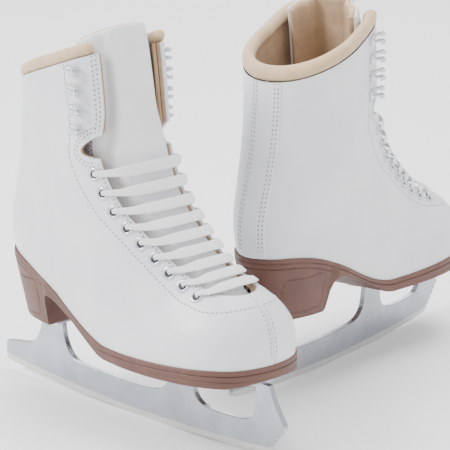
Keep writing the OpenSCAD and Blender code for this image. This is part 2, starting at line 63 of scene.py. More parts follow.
# One row a section, from the collar to the toe: front ridge x, z, back point x, z, half width,
# the place of the widest point as a share of the depth, and how square the front is.
SECTIONS = np.array([
    [130.5, 262, 40, 232, 38, 0.5, 4.2],
    [134.5, 245.5, 39.5, 213, 38, 0.5, 4.1],
    [138.5, 223.5, 38.5, 195, 37.5, 0.5, 3.9],
    [142.5, 201, 36.5, 177, 37, 0.5, 3.6],
    [148, 181, 32.5, 159, 37, 0.5, 3.3],
    [156, 164, 26.5, 141, 36.5, 0.5, 3.2],
    [167, 149, 21, 120, 36, 0.47, 3.1],
    [180, 137, 22.5, 100, 35.5, 0.44, 3],
    [193, 126.5, 32, 74, 34.5, 0.42, 2.9],
    [206, 117, 52, 50, 35, 0.42, 2.7],
    [219, 109.5, 85, 35, 37.5, 0.42, 2.6],
    [231, 104, 118, 25, 43, 0.42, 2.5],
    [240.5, 98, 150, 22, 44, 0.48, 2.4],
    [247.5, 90, 180, 22, 41, 0.55, 2.3],
    [251.5, 79, 205, 22, 34, 0.6, 2.2],
    [253, 64, 220, 20, 27, 0.62, 2.1]])
BACK_ROUND = 2.1
THROAT_CLOSE, THROAT_END = 10.0, 11.05
NOTCH_LOW, NOTCH_HIGH, NOTCH_DEPTH = 3.29, 4.01, 15.0
FEATHER_HEEL, FEATHER_BALL, FEATHER_TOE = 98.0, 60.0, 63.0
ARCH_X, ARCH_L, TOE_X = 146.0, 112.0, 253.0
TOE_SWING, BALL_SWING = 1.0, 7.0
LATERAL, MEDIAL = -1, 1
FACING_TURN, FACING_END = 10.4, 12.0
BACKSTAY_D, BACKSTAY_HALF = -1.15, 11.0
STITCH = 3.0
TONGUE_TOP, TONGUE_TOE, TONGUE_L = 0.2, 11.9, 178.0


def clamp01(t):
    return np.clip(t, 0.0, 1.0)


def smooth(t):
    t = clamp01(t)
    return t * t * (3 - 2 * t)


def mix(a, b, t):
    return a + (b - a) * t


def cubic(a, b, c, d, t):
    """Smooth step from b to c, with a before and d after them."""
    return 0.5 * (2 * b + (c - a) * t + (2 * a - 5 * b + 4 * c - d) * t * t
                  + (3 * b - a - 3 * c + d) * t ** 3)


def run(p):
    """How far along its points a line has come at each of them."""
    return np.concatenate([[0], np.cumsum(np.linalg.norm(np.diff(p, axis=0), axis=1))])


def section(u):
    """Row of SECTIONS at a place u between the rows."""
    n = len(SECTIONS) - 1
    i = int(min(math.floor(u), n - 1))
    return cubic(SECTIONS[max(i - 1, 0)], SECTIONS[i], SECTIONS[i + 1], SECTIONS[min(i + 2, n)], u - i)


def feather(x):
    """Height of the line where the leather meets the sole."""
    x = np.asarray(x, float)
    back = mix(FEATHER_BALL, FEATHER_HEEL, smooth(clamp01((ARCH_X - x) / ARCH_L) ** 0.9))
    fore = mix(FEATHER_BALL, FEATHER_TOE, clamp01((x - ARCH_X) / (TOE_X - ARCH_X)) ** 1.4)
    return np.where(x < ARCH_X, back, fore)


def middle_y(x):
    """Sideways swing of the foot's middle line."""
    t = clamp01((np.asarray(x, float) - 90) / 160)
    return TOE_SWING * t ** 3 - BALL_SWING * np.sin(np.pi * t) * (1 - t)


def skin(q, v, d, side, gap=0.15):
    """Points of section q at angles v (degrees), inset by d."""
    v = np.asarray(v, float)
    d = np.asarray(d, float) + 0 * v
    front, back = np.array([q[0], q[1]]), np.array([q[2], q[3]])
    whole = np.linalg.norm(front - back)
    along = (front - back) / whole
    l = whole - 2 * d
    n = np.where(v < 90, q[6], BACK_ROUND)
    c, s = np.cos(np.radians(v)), np.maximum(np.sin(np.radians(v)), 0)
    r = (np.abs(c) ** n + s ** n) ** (-1 / n)
    p = np.where(v < 90, l * (q[5] + (1 - q[5]) * c * r), l * q[5] * (1 + c * r))
    y = np.maximum((q[4] - d) * s * r, gap)
    x = back[0] + along[0] * (d + p)
    z = back[1] + along[1] * (d + p)
    return np.stack([x, side * y + middle_y(x), z], -1)


def angle_at_width(q, y, n):
    """Angle at which section q is y wide, on its front part."""
    r = y / q[4]
    if r < 0.002:
        return 0.0
    if r > 0.999:
        return 88.0
    return math.degrees(math.atan(1 / (r ** -n - 1) ** (1 / n)))


def foot_angle(q, d, up):
    """Angle at which the skin comes down to the feather line, raised by up."""
    lo, hi = 0.0, 180.0
    for _ in range(22):
        a = (lo + hi) / 2
        p = skin(q, a, d, 1)
        if p[2] > feather(p[0]) + up:
            lo = a
        else:
            hi = a
    return (lo + hi) / 2


def throat_y(u):
    """Half width of the opening the tongue fills."""
    w = mix(THROAT_TOP, THROAT_ANKLE, smooth((u - 2.5) / 1.5))
    w = mix(w, THROAT_TOE, smooth((u - 3.5) / 6.5))
    close = clamp01((u - THROAT_CLOSE) / (THROAT_END - THROAT_CLOSE))
    return float(w * math.sqrt(max(0.0, 1 - float(close) ** 2)))


def plain_edge(u):
    q = section(u)
    return angle_at_width(q, throat_y(u), q[6])


def notch(u):
    """Share of the flex notch's depth."""
    t = float(clamp01((u - NOTCH_LOW) / (NOTCH_HIGH - NOTCH_LOW)))
    return max(0.0, math.sin(math.pi * t ** 1.15)) ** 0.6 if 0 < t < 1 else 0.0


_arc = {}


def arc(u):
    """Angles 0..180 and how far round the skin each is from the front ridge."""
    k = round(u, 4)
    if k not in _arc:
        v = np.linspace(0, 180, 241)
        p = skin(section(u), v, 0, 1, gap=0.0)
        s = run(p)
        _arc[k] = (v, s)
    return _arc[k]


def at_arc(u, a):
    v, s = arc(u)
    return np.interp(a, s, v)


def arc_of(u, v):
    vs, s = arc(u)
    return float(np.interp(v, vs, s))


def edge_arc(u):
    return arc_of(u, plain_edge(u)) + NOTCH_DEPTH * notch(u)


def point(u, a, d, side):
    return skin(section(u), at_arc(u, a), d, side)


def skin_frame(u, v, side):
    """Place, direction to the toe, direction round to the throat, outward normal."""
    p = skin(section(u), v, 0, side)
    t = skin(section(u + 0.04), v, 0, side) - skin(section(u - 0.04), v, 0, side)
    r = skin(section(u), v - 0.8, 0, side) - skin(section(u), v + 0.8, 0, side)
    t /= np.linalg.norm(t)
    n = -side * np.cross(t, r)
    n /= np.linalg.norm(n)
    r = np.cross(t, n) * (1 if np.dot(np.cross(t, n), r) > 0 else -1)
    return p, t, r, n


def eyelet_u(i):
    return 4.52 + i * 5.65 / (EYELET_N - 1)


def hook_u(i):
    return 1.28 + i * 1.71 / (HOOK_N - 1)


def eyelet_v(i):
    u = eyelet_u(i)
    return float(at_arc(u, arc_of(u, plain_edge(u)) + 8))


def hook_v(i):
    u = hook_u(i)
    return float(at_arc(u, arc_of(u, plain_edge(u)) + 24))


def outline(d, n=150):
    """Half outline of the foot at the feather line: x and half width, from heel to toe."""
    us = 7.08 + 7.86 * (np.arange(n) / (n - 1)) ** 1.8
    rows = []
    for u in us:
        q = section(u)
        p = skin(q, foot_angle(q, d, 0), d, 1)
        rows.append([p[0], p[1] - float(middle_y(p[0]))])
    rows = np.array(rows)
    rows[:, 1] = np.maximum(rows[:, 1], 0.2)
    return rows


# ---------------------------------------------------------------- mesh helpers
lo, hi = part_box("right_blade")
CENTRE = np.array([BLADE_L / 2, -500.0 * (lo.y + hi.y), 0.0])
TURN = math.radians(PAIR_TURN)


def to_row(p, skate):
    p = np.asarray(p, float)
    if skate == "right":
        return (p - CENTRE) / 1000
    c, s = math.cos(TURN), math.sin(TURN)
    x, y, z = p[..., 0], -p[..., 1], p[..., 2]
    return (np.stack([c * x - s * y + PAIR_X, s * x + c * y + PAIR_Y, z], -1) - CENTRE) / 1000


def solid(name, skate, verts, faces, material, loc=None, sharp=35, slot=None, body=None, mats=(),
          replaces=(), flip=False, ride=True, recalc=False):
    """One piece of one skate from vertices in that skate's own millimetres."""
    verts = np.asarray(verts, float)
    mesh = bpy.data.meshes.new(f"{skate}_{name}")
    turned = (skate == "left") != flip
    mesh.from_pydata(to_row(verts, skate).tolist(), [],
                     [tuple(reversed(f)) if turned else tuple(f) for f in faces])
    a = mesh.attributes.new("loc", "FLOAT_VECTOR", "POINT")
    a.data.foreach_set("vector", np.asarray(verts if loc is None else loc, np.float32).ravel())
    mesh.materials.append(material)
    for m in mats:
        mesh.materials.append(m)
    mesh.validate()
    if recalc:
        bm = bmesh.new()
        bm.from_mesh(mesh)
        bmesh.ops.recalc_face_normals(bm, faces=bm.faces)
        bm.to_mesh(mesh)
        bm.free()
    mesh.shade_smooth()
    if sharp:
        mesh.set_sharp_from_angle(angle=math.radians(sharp))
    o = bpy.data.objects.new(f"{skate}_{name}", mesh)
    bpy.context.scene.collection.objects.link(o)
    if ride:
        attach(o, body or f"{skate}_skate")
    if replaces:
        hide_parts(*[f"{skate}_{r}" for r in replaces])
    return o


def grid_faces(rows, cols, close=False, base=0):
    """Faces of a grid of vertices, row after row."""
    f = []
    for i in range(rows - 1):
        for j in range(cols if close else cols - 1):
            k = (j + 1) % cols
            f.append((base + i * cols + j, base + (i + 1) * cols + j,
                      base + (i + 1) * cols + k, base + i * cols + k))
    return f


class Heap:
    """Collects small shapes into one mesh."""

    def __init__(self):
        self.v, self.f, self.m, self.l, self.n = [], [], [], [], 0

    def add(self, verts, faces, mat=0, loc=None):
        verts = np.asarray(verts, float)
        self.v.append(verts)
        self.l.append(verts if loc is None else np.asarray(loc, float))
        self.f += [tuple(i + self.n for i in f) for f in faces]
        self.m += [mat] * len(faces)
        self.n += len(verts)

    def make(self, name, skate, mats, **kw):
        o = solid(name, skate, np.concatenate(self.v), self.f, mats[0], loc=np.concatenate(self.l),
                  mats=mats[1:], **kw)
        if len(mats) > 1 and len(o.data.polygons) == len(self.m):
            o.data.polygons.foreach_set("material_index", self.m)
        return o


def sweep(path, a, b, rings):
    """One ring (k, 2) for each path point, carried along it on side vectors a and b."""
    v = path[:, None] + a[:, None] * rings[:, :, :1] + b[:, None] * rings[:, :, 1:]
    n, k = v.shape[:2]
    ends = [tuple(range(k)), tuple(reversed(range((n - 1) * k, n * k)))]
    return v.reshape(-1, 3), grid_faces(n, k, close=True) + ends


def disc(n=16):
    t = np.arange(n) * 2 * np.pi / n
    return np.stack([np.cos(t), np.sin(t)], -1)


def flat_ring(n, across=4.0, thick=2.6):
    """Outline of a flat strip, 1 wide and 1 thick; the powers say how square it is."""
    a = np.arange(n) * 2 * np.pi / n
    c, s = np.cos(a), np.sin(a)
    return np.stack([np.sign(c) * np.abs(c) ** (2 / across) / 2,
                     np.sign(s) * np.abs(s) ** (2 / thick) / 2], -1)


def revolve(profile, place, side, up, n):
    """Profile of (radius, height) turned about up, from side on."""
    a = np.arange(n) * 2 * np.pi / n
    prof = np.asarray(profile, float)
    spoke = np.cos(a)[None, :, None] * side + np.sin(a)[None, :, None] * np.cross(up, side)
    v = np.asarray(place) + prof[:, None, :1] * spoke + prof[:, None, 1:] * up
    return v.reshape(-1, 3), grid_faces(len(prof), n, close=True)


def resample(p, step):
    """The line p in even steps, and how far along it each point is."""
    p = np.asarray(p, float)
    s = run(p)
    n = max(2, int(round(s[-1] / step)) + 1)
    t = np.linspace(0, s[-1], n)
    return np.stack([np.interp(t, s, p[:, k]) for k in range(3)], -1), t


def through(points, n=8):
    """Smooth curve through points."""
    p = np.asarray(points, float)
    p = np.concatenate([[2 * p[0] - p[1]], p, [2 * p[-1] - p[-2]]])
    out = []
    for i in range(1, len(p) - 2):
        for k in range(n):
            out.append(cubic(p[i - 1], p[i], p[i + 1], p[i + 2], k / n))
    out.append(p[-2])
    return np.array(out)


# ---------------------------------------------------------------- camera
LENS, SHIFT, CAMERA_AT = 192.1, 0.01, (1.08865, -1.1402, 0.53398)


def camera():
    data = bpy.data.cameras.new("camera")
    data.lens = LENS
    data.sensor_width = 36
    data.clip_end = 20
    data.shift_y = SHIFT
    o = bpy.data.objects.new("camera", data)
    bpy.context.scene.collection.objects.link(o)
    o.location = CAMERA_AT
    pitch, turn = math.radians(15.4), math.radians(45)
    look = Vector((-math.sin(turn) * math.cos(pitch), math.cos(turn) * math.cos(pitch),
                   -math.sin(pitch)))
    o.rotation_euler = look.to_track_quat("-Z", "Y").to_euler()
    bpy.context.scene.camera = o


camera()


# ---------------------------------------------------------------- materials
class Nodes:
    """Short names for building a procedural material; every pattern reads the piece's own
    millimetres from its loc attribute."""

    def __init__(self, name, cad=False):
        self.mat = bpy.data.materials.new(name)
        self.mat.use_nodes = True
        self.t = self.mat.node_tree
        self.bsdf = self.t.nodes["Principled BSDF"]
        if cad:
            self.place, self.unit = self.t.nodes.new("ShaderNodeTexCoord").outputs["Object"], 1000.0
        else:
            n = self.t.nodes.new("ShaderNodeAttribute")
            n.attribute_name = "loc"
            self.place, self.unit = n.outputs["Vector"], 1.0

    def put(self, socket, v):
        """Links v to the socket if it is another node's output, or sets it as the value."""
        if isinstance(v, bpy.types.NodeSocket):
            self.t.links.new(v, socket)
        else:
            socket.default_value = (*v, 1.0) if isinstance(v, tuple) else v

    def node(self, kind, **inputs):
        n = self.t.nodes.new(kind)
        for k, v in inputs.items():
            self.put(n.inputs[k.replace("_", " ")], v)
        return n

    def math(self, op, a, b=0.0, c=0.0):
        n = self.t.nodes.new("ShaderNodeMath")
        n.operation = op
        for i, v in enumerate((a, b, c)):
            self.put(n.inputs[i], v)
        return n.outputs[0]

    def scaled(self, sx=1.0, sy=None, sz=None):
        """The piece's own place, stretched along its axes."""
        n = self.t.nodes.new("ShaderNodeVectorMath")
        n.operation = "MULTIPLY"
        self.put(n.inputs[0], self.place)
        sy, sz = sx if sy is None else sy, sx if sz is None else sz
        n.inputs[1].default_value = (self.unit * sx, self.unit * sy, self.unit * sz)
        return n.outputs[0]

    def noise(self, vector, scale=1.0, detail=2.0, rough=0.5):
        n = self.node("ShaderNodeTexNoise", Vector=vector, Scale=scale, Detail=detail, Roughness=rough)
        return n.outputs["Fac"]

    def voronoi(self, vector, scale=1.0, feature="F1"):
        n = self.t.nodes.new("ShaderNodeTexVoronoi")
        n.feature = feature
        self.put(n.inputs["Vector"], vector)
        self.put(n.inputs["Scale"], scale)
        return n.outputs["Distance"]

    def ramp(self, fac, low, high, a=0, b=1):
        n = self.node("ShaderNodeMapRange", Value=fac, From_Min=low, From_Max=high, To_Min=a, To_Max=b)
        n.clamp = True
        return n.outputs["Result"]

    def blend(self, fac, a, b):
        n = self.t.nodes.new("ShaderNodeMix")
        n.data_type = "RGBA"
        n.clamp_factor = True
        for i, v in ((0, fac), (6, a), (7, b)):
            self.put(n.inputs[i], v)
        return n.outputs[2]

    def lump(self, height, distance, strength, below=None):
        n = self.node("ShaderNodeBump", Height=height, Distance=distance, Strength=strength)
        if below is not None:
            self.put(n.inputs["Normal"], below)
        return n.outputs[0]

    def surface(self, color, rough, bump, **rest):
        """Colour and roughness, the last bump, and whatever is the same all over."""
        self.put(self.bsdf.inputs["Base Color"], color)
        self.put(self.bsdf.inputs["Roughness"], rough)
        self.put(self.bsdf.inputs["Normal"], bump)
        for k, v in rest.items():
            self.put(self.bsdf.inputs[k.replace("_", " ")], v)
        return self.mat


def leather(name, a=(0.70, 0.71, 0.735), b=(0.645, 0.655, 0.685), rough=0.34):
    m = Nodes(name)
    grain = m.voronoi(m.scaled(), 1.15, "DISTANCE_TO_EDGE")
    fine = m.noise(m.scaled(), 2.6, 3.0)
    broad = m.noise(m.scaled(), 0.035, 2.0)
    crease = m.noise(m.scaled(0.05, 0.05, 0.16), 1.0, 3.0)
    tone = m.math("ADD", m.math("MULTIPLY", broad, 0.7), m.math("MULTIPLY", fine, 0.3))
    dull = m.math("ADD", fine, m.math("MULTIPLY", broad, 0.6))
    grainy = m.math("ADD", m.ramp(grain, 0.0, 0.22), m.math("MULTIPLY", fine, 0.5))
    return m.surface(m.blend(m.ramp(tone, 0.38, 0.62), a, b),
                     m.ramp(dull, 0.5, 1.1, rough - 0.05, rough + 0.09),
                     m.lump(grainy, 0.00004, 0.5, m.lump(crease, 0.0012, 0.18)),
                     Coat_Weight=0.12, Coat_Roughness=0.3, IOR=1.47)


def fleece(name, a, b, pile=1.0, cad=False):
    m = Nodes(name, cad)
    fibre = m.noise(m.scaled(1.0, 1.0, 0.6), 2.4 / pile, 4.0, 0.65)
    patch = m.noise(m.scaled(), 0.09, 3.0)
    tone = m.math("ADD", m.math("MULTIPLY", fibre, 0.5), m.math("MULTIPLY", patch, 0.5))
    return m.surface(m.blend(m.ramp(tone, 0.36, 0.64), a, b),
                     m.ramp(fibre, 0.3, 0.7, 0.82, 0.97),
                     m.lump(fibre, 0.00035 * pile, 0.6, m.lump(patch, 0.001, 0.25)),
                     Sheen_Weight=0.35, Sheen_Roughness=0.5, Sheen_Tint=(0.95, 0.88, 0.78))


def braid(name):
    """Reads loc as along the lace, across it and through it."""
    m = Nodes(name)
    xyz = m.node("ShaderNodeSeparateXYZ", Vector=m.place)
    along, across = xyz.outputs[0], xyz.outputs[1]
    slant = m.math("ADD", along, m.math("ABSOLUTE", across))
    weave = m.math("MULTIPLY", m.math("SINE", m.math("MULTIPLY", slant, 4.2)),
                   m.math("SINE", m.math("MULTIPLY", across, 5.2)))
    fray = m.noise(m.scaled(), 5.0, 2.0)
    # The weave's grooves are painted darker: painted shade between the strands, with random tone from
    # the fray noise on top.
    shade = m.ramp(m.math("ADD", weave, fray), -0.6, 1.6)
    return m.surface(m.blend(shade, (0.66, 0.67, 0.69), (0.86, 0.86, 0.87)),
                     m.ramp(fray, 0.3, 0.7, 0.72, 0.88),
                     m.lump(m.math("ADD", weave, m.math("MULTIPLY", fray, 0.6)), 0.00016, 0.7),
                     Sheen_Weight=0.2)


def moulded(name):
    m = Nodes(name)
    fine = m.noise(m.scaled(), 2.2, 3.0)
    broad = m.noise(m.scaled(), 0.06, 3.0)
    scuff = m.noise(m.scaled(0.25, 0.25, 1.6), 1.0, 4.0, 0.7)
    base = m.blend(m.ramp(broad, 0.35, 0.65), (0.085, 0.033, 0.022), (0.108, 0.043, 0.029))
    return m.surface(m.blend(m.ramp(scuff, 0.60, 0.80, 0, 0.35), base, (0.17, 0.085, 0.06)),
                     m.ramp(m.math("ADD", fine, scuff), 0.7, 1.3, 0.42, 0.6),
                     m.lump(m.math("ADD", fine, m.math("MULTIPLY", scuff, 0.5)), 0.00008, 0.5),
                     IOR=1.5)


def steel(name, rough=0.24, tint=(0.44, 0.46, 0.50), ground=False, cad=True):
    """Ground steel has a brighter hollow-ground strip along the runner's edge."""
    m = Nodes(name, cad)
    streak = m.noise(m.scaled(0.05, 1.0, 2.4), 1.0, 4.0, 0.6)
    scratch = m.noise(m.scaled(0.12, 3.0, 7.0), 1.0, 3.0, 0.7)
    cloud = m.noise(m.scaled(), 0.05, 3.0)
    tone = m.blend(m.ramp(cloud, 0.35, 0.65), tint, tuple(c * 0.86 for c in tint))
    dull = m.math("ADD", streak, m.math("MULTIPLY", cloud, 0.7))
    r = m.ramp(dull, 0.55, 1.15, rough - 0.06, rough + 0.1)
    if ground:
        xyz = m.node("ShaderNodeSeparateXYZ", Vector=m.place)
        dx = m.math("SUBTRACT", xyz.outputs[0], ROCKER_X)
        dz = m.math("SUBTRACT", xyz.outputs[2], ROCKER_R)
        reach = m.math("SQRT", m.math("ADD", m.math("MULTIPLY", dx, dx), m.math("MULTIPLY", dz, dz)))
        strip = m.ramp(reach, ROCKER_R - 4.4, ROCKER_R - 4.1)
        tone = m.blend(strip, tone, (0.62, 0.615, 0.60))
        r = m.math("ADD", r, m.math("MULTIPLY", strip, 0.12))
    height = m.math("ADD", streak, m.math("MULTIPLY", scratch, 0.5))
    return m.surface(tone, r, m.lump(height, 0.00003, 0.45), Metallic=1.0)


def lacquer(name):
    m = Nodes(name)
    fine = m.noise(m.scaled(), 1.4, 3.0)
    wear = m.noise(m.scaled(), 0.9, 4.0, 0.7)
    return m.surface(m.blend(m.ramp(wear, 0.62, 0.75, 0, 0.5), (0.60, 0.62, 0.66), (0.5, 0.51, 0.54)),
                     m.ramp(fine, 0.35, 0.65, 0.14, 0.26),
                     m.lump(fine, 0.00003, 0.4),
                     Coat_Weight=0.6, Coat_Roughness=0.08, Metallic=0.6)


def thread(name, a=(0.80, 0.80, 0.81), b=(0.60, 0.60, 0.62)):
    m = Nodes(name)
    twist = m.math("SINE", m.noise(m.scaled(), 6.0, 1.0))
    n = m.noise(m.scaled(), 3.0, 2.0)
    return m.surface(m.blend(m.ramp(n, 0.35, 0.65), a, b), m.ramp(n, 0.3, 0.7, 0.6, 0.8),
                     m.lump(twist, 0.0001, 0.6))


def net(name):
    m = Nodes(name)
    cell = m.voronoi(m.scaled(), 0.75)
    n = m.noise(m.scaled(), 1.5, 2.0)
    # The middle of each cell is painted near black: painted shade in the net's holes, which are not
    # cut open.
    hole = m.ramp(cell, 0.30, 0.48, 1, 0)
    return m.surface(m.blend(hole, (0.42, 0.41, 0.46), (0.10, 0.10, 0.12)),
                     m.ramp(n, 0.3, 0.7, 0.7, 0.9), m.lump(cell, 0.0005, 0.8))


def board(name, a, b):
    m = Nodes(name, True)
    n = m.noise(m.scaled(), 0.8, 5.0, 0.7)
    return m.surface(m.blend(m.ramp(n, 0.35, 0.65), a, b), m.ramp(n, 0.3, 0.7, 0.75, 0.9),
                     m.lump(n, 0.0002, 0.5))


M_LEATHER = leather("white_leather")
M_TONGUE = leather("tongue_leather", (0.72, 0.725, 0.745), (0.67, 0.675, 0.70), 0.38)
M_LINING = fleece("beige_lining", (0.40, 0.255, 0.15), (0.28, 0.17, 0.095))
M_TONGUE_LINING = fleece("tongue_lining", (0.50, 0.34, 0.21), (0.36, 0.235, 0.14))
M_FOOTBED = fleece("footbed", (0.42, 0.30, 0.20), (0.33, 0.23, 0.15), 1.0, True)
M_ROLL = fleece("collar_roll", (0.60, 0.43, 0.27), (0.50, 0.35, 0.21), 0.55)
M_BRAID = braid("lace_braid")
M_SOLE = moulded("brown_sole")
M_BLADE = steel("blade_steel", ground=True, cad=False)
M_PLATE = steel("plate_steel", 0.3)
M_SCREW = steel("screw_steel", 0.2, (0.7, 0.7, 0.71))
M_LACQUER = lacquer("white_lacquer")
M_THREAD = thread("thread")
# Dark grey discs at the stitch ends: painted shade of the needle holes.
M_NEEDLE_HOLE_SHADE = thread("needle_hole_shade", (0.20, 0.20, 0.23), (0.12, 0.12, 0.14))
# Near black discs inside the eyelet rims: painted shade of the eyelet holes.
M_EYELET_HOLE_SHADE = thread("eyelet_shade", (0.035, 0.035, 0.045), (0.02, 0.02, 0.028))
M_NET = net("gusset_net")
M_BOARD = board("insole_board", (0.45, 0.32, 0.2), (0.36, 0.25, 0.15))
M_STIFF = board("stiffener", (0.42, 0.30, 0.2), (0.34, 0.24, 0.15))
M_SHANK = steel("shank_steel", 0.35, (0.4, 0.41, 0.42))


# ---------------------------------------------------------------- lace
LACE_SIDES = 18
ROUND_LACE = (1.9, 1.9)


def ring_frames(path, across):
    """Unit side vectors of a ribbon: across it, and out of it."""
    t = np.gradient(path, axis=0)
    t /= np.linalg.norm(t, axis=1)[:, None] + 1e-12
    a = across - t * np.sum(across * t, 1)[:, None]
    a /= np.linalg.norm(a, axis=1)[:, None] + 1e-12
    return a, np.cross(t, a)


def lace(skate):
    rnd = random.Random(11)
    pts, acr, wid, thk = [], [], [], []

    def add(p, a, w, t):
        pts.append(np.asarray(p, float))
        acr.append(np.asarray(a, float))
        wid.append(w)
        thk.append(t)

    for k in range(EYELET_N):
        i = EYELET_N - 1 - k
        s = LATERAL if i % 2 == 0 else MEDIAL
        g = 1 if i % 2 == 0 else -1
        u, v = eyelet_u(i), eyelet_v(i)
        e0, t0, r0, n0 = skin_frame(u, v, s)
        e1, t1, r1, n1 = skin_frame(u, v, -s)
        a_e = arc_of(u, v)
        lean = rnd.uniform(-0.5, 0.5)
        under = LINING_D + mix(1.9, 1.3, i / (EYELET_N - 1))
        add(e0 - n0 * (under - 0.5), g * (t0 + n0), *ROUND_LACE)
        add(e0 - n0 * 4.0, g * t0, 2.2, 2.0)
        add(e0 + n0 * 0.7 + r0 * 0.6, g * t0, 2.3, 1.8)
        add(e0 + n0 * 1.9 + r0 * 2.2, g * t0, 3.4, 1.5)
        for f in np.concatenate([[0.72, 0.52], np.linspace(0.36, -0.36, 7), [-0.52, -0.72]]):
            side, out = s if f >= 0 else -s, abs(f)
            uu = u + 0.012 * lean * f
            p = point(uu, out * a_e, -2.25 if out > 0.6 else -2.0, side)
            q0 = point(uu - 0.03, out * a_e, -1.75, side)
            q1 = point(uu + 0.03, out * a_e, -1.75, side)
            share = 0.62 if out > 0.6 else 0.88 if out > 0.45 else 1.0
            add(p, g * (q1 - q0), LACE_W * share + rnd.uniform(-0.25, 0.25), LACE_T)
        add(e1 + n1 * 1.9 + r1 * 2.2, g * t1, 3.4, 1.5)
        add(e1 + n1 * 0.7 + r1 * 0.6, g * t1, 2.3, 1.8)
        add(e1 - n1 * 4.0, g * t1, 2.2, 2.0)
        add(e1 - n1 * (under - 0.5), g * (t1 - n1), *ROUND_LACE)
        if i:
            um = (eyelet_u(i) + eyelet_u(i - 1)) / 2
            vm = (eyelet_v(i) + eyelet_v(i - 1)) / 2
            pm, _, _, nm = skin_frame(um, vm, -s)
            add(pm - nm * under, -g * nm, *ROUND_LACE)
    n = 5
    path = through(pts, n)
    across = through(acr, n)
    w = through(np.array(wid)[:, None] * [1, 0, 0], n)[:, 0]
    t = through(np.array(thk)[:, None] * [1, 0, 0], n)[:, 0]
    a, b = ring_frames(path, across)
    unit = flat_ring(LACE_SIDES)
    rings = unit[None] * np.stack([w, t], -1)[:, None]
    v, f = sweep(path, a, b, rings)
    s = run(path)
    loc = np.stack([np.repeat(s, LACE_SIDES), rings[:, :, 0].ravel(), rings[:, :, 1].ravel()], -1)
    return solid("lace_braid", skate, v, f, M_BRAID, loc=loc, slot="white_lace", replaces=["lace"],
                 sharp=50)


# ---------------------------------------------------------------- upper
U_MAIN = np.unique(np.concatenate([
    np.linspace(1, 3.29, 42), 3.65 - 0.36 * np.cos(np.linspace(0, np.pi, 34)),
    np.linspace(4.01, 11.0, 120), np.linspace(11.0, 11.12, 8), np.linspace(11.12, 14.93, 84)]))
EDGE_R = 0.95


def upper(side, skate):
    """One half of the outer leather: a rolled throat edge, the outside, and a turned-in back seam."""
    near = np.array([0, 0.1, 0.28, 0.55, 0.95, 1.6, 2.6, 4, 6])
    rows = []
    for u in U_MAIN:
        q = section(u)
        vs, cum = arc(u)
        a0 = edge_arc(u)
        a1 = float(np.interp(foot_angle(q, 0, -2.2), vs, cum))
        open_edge = throat_y(u) > 0.01
        room = max(a1 - a0, 0.5)
        if open_edge:
            arcs = [a0 + min(7, room * 0.8), a0 + min(3, room * 0.5), a0 + 0.5, a0 + 0.15, a0, a0]
            ds = [LEATHER_T - x for x in (0, 0, 0, 0.3, 0.75, 1.1)]
        else:
            arcs = [a0 + 2, a0 + 1, a0 + 0.3, a0 + 0.02, a0, a0]
            ds = [LEATHER_T - x for x in (0, 0, 0, 0.3, 0.8, 1.1)]
        scale = min(1.0, room / 16)
        for s in near:
            arcs.append(a0 + s * scale)
            k = min(s / EDGE_R, 1)
            ds.append(EDGE_R * (1 - math.sqrt(1 - (1 - k) ** 2)) if open_edge
                      else 0.55 * (1 - k) ** 2)
        body_a = np.linspace(a0 + 6 * scale, a1, 64)[1:]
        arcs += list(body_a)
        tail = np.maximum(a1 - body_a, 0)
        full = 1.0 if a1 >= cum[-1] - 0.01 else 0.0
        ds += list(0.5 * full * (1 - np.minimum(tail / 0.8, 1)) ** 2)
        arcs += [a1, a1]
        ds += [1.4, LEATHER_T]
        rows.append(skin(q, np.interp(arcs, cum, vs), np.array(ds), side))
    rows.append(rows[-1] + np.array([0.3, 0, -3.0]))
    rows = np.array(rows)
    n, m = rows.shape[:2]
    name = "lateral" if side == LATERAL else "medial"
    return solid(f"{name}_leather", skate, rows.reshape(-1, 3), grid_faces(n, m), M_LEATHER,
                 slot="white_leather", replaces=[f"{name}_upper"], flip=side == MEDIAL, sharp=60)


def layer(side, skate, name, node, d0, d1, us, reach, slot, lip=0.0, inner_to=None, deep=0.0):
    """A sheet under the leather with a rolled edge at the throat: its outer face goes on to reach,
    its inner face to inner_to or down to the feather line."""
    mid, half = (d0 + d1) / 2, (d1 - d0) / 2
    rows = []
    for u in us:
        q = section(u)
        vs, cum = arc(u)
        a0 = edge_arc(u) - lip * float(smooth((3.3 - u) / 0.1))
        if inner_to is None:
            a1 = float(np.interp(foot_angle(q, d1, deep), vs, cum))
        else:
            a1 = a0 + inner_to
        a1 = max(a1, a0 + 1)
        room = a1 - a0
        arcs, ds = [a0 + min(reach, room * 0.8), a0 + min(half, room * 0.3)], [d0, d0]
        for k in range(1, 8):
            w = math.pi * k / 8
            arcs.append(a0 + half * (1 - math.sin(w)))
            ds.append(mid - half * math.cos(w))
        arcs += list(np.linspace(a0 + min(half, room * 0.3), a1, 48))
        ds += [d1] * 48
        rows.append(skin(q, np.interp(arcs, cum, vs), np.array(ds), side))
    rows = np.array(rows)
    n, m = rows.shape[:2]
    return solid(name, skate, rows.reshape(-1, 3), grid_faces(n, m), M_LINING, slot=slot,
                 replaces=node, flip=side == LATERAL, sharp=60)


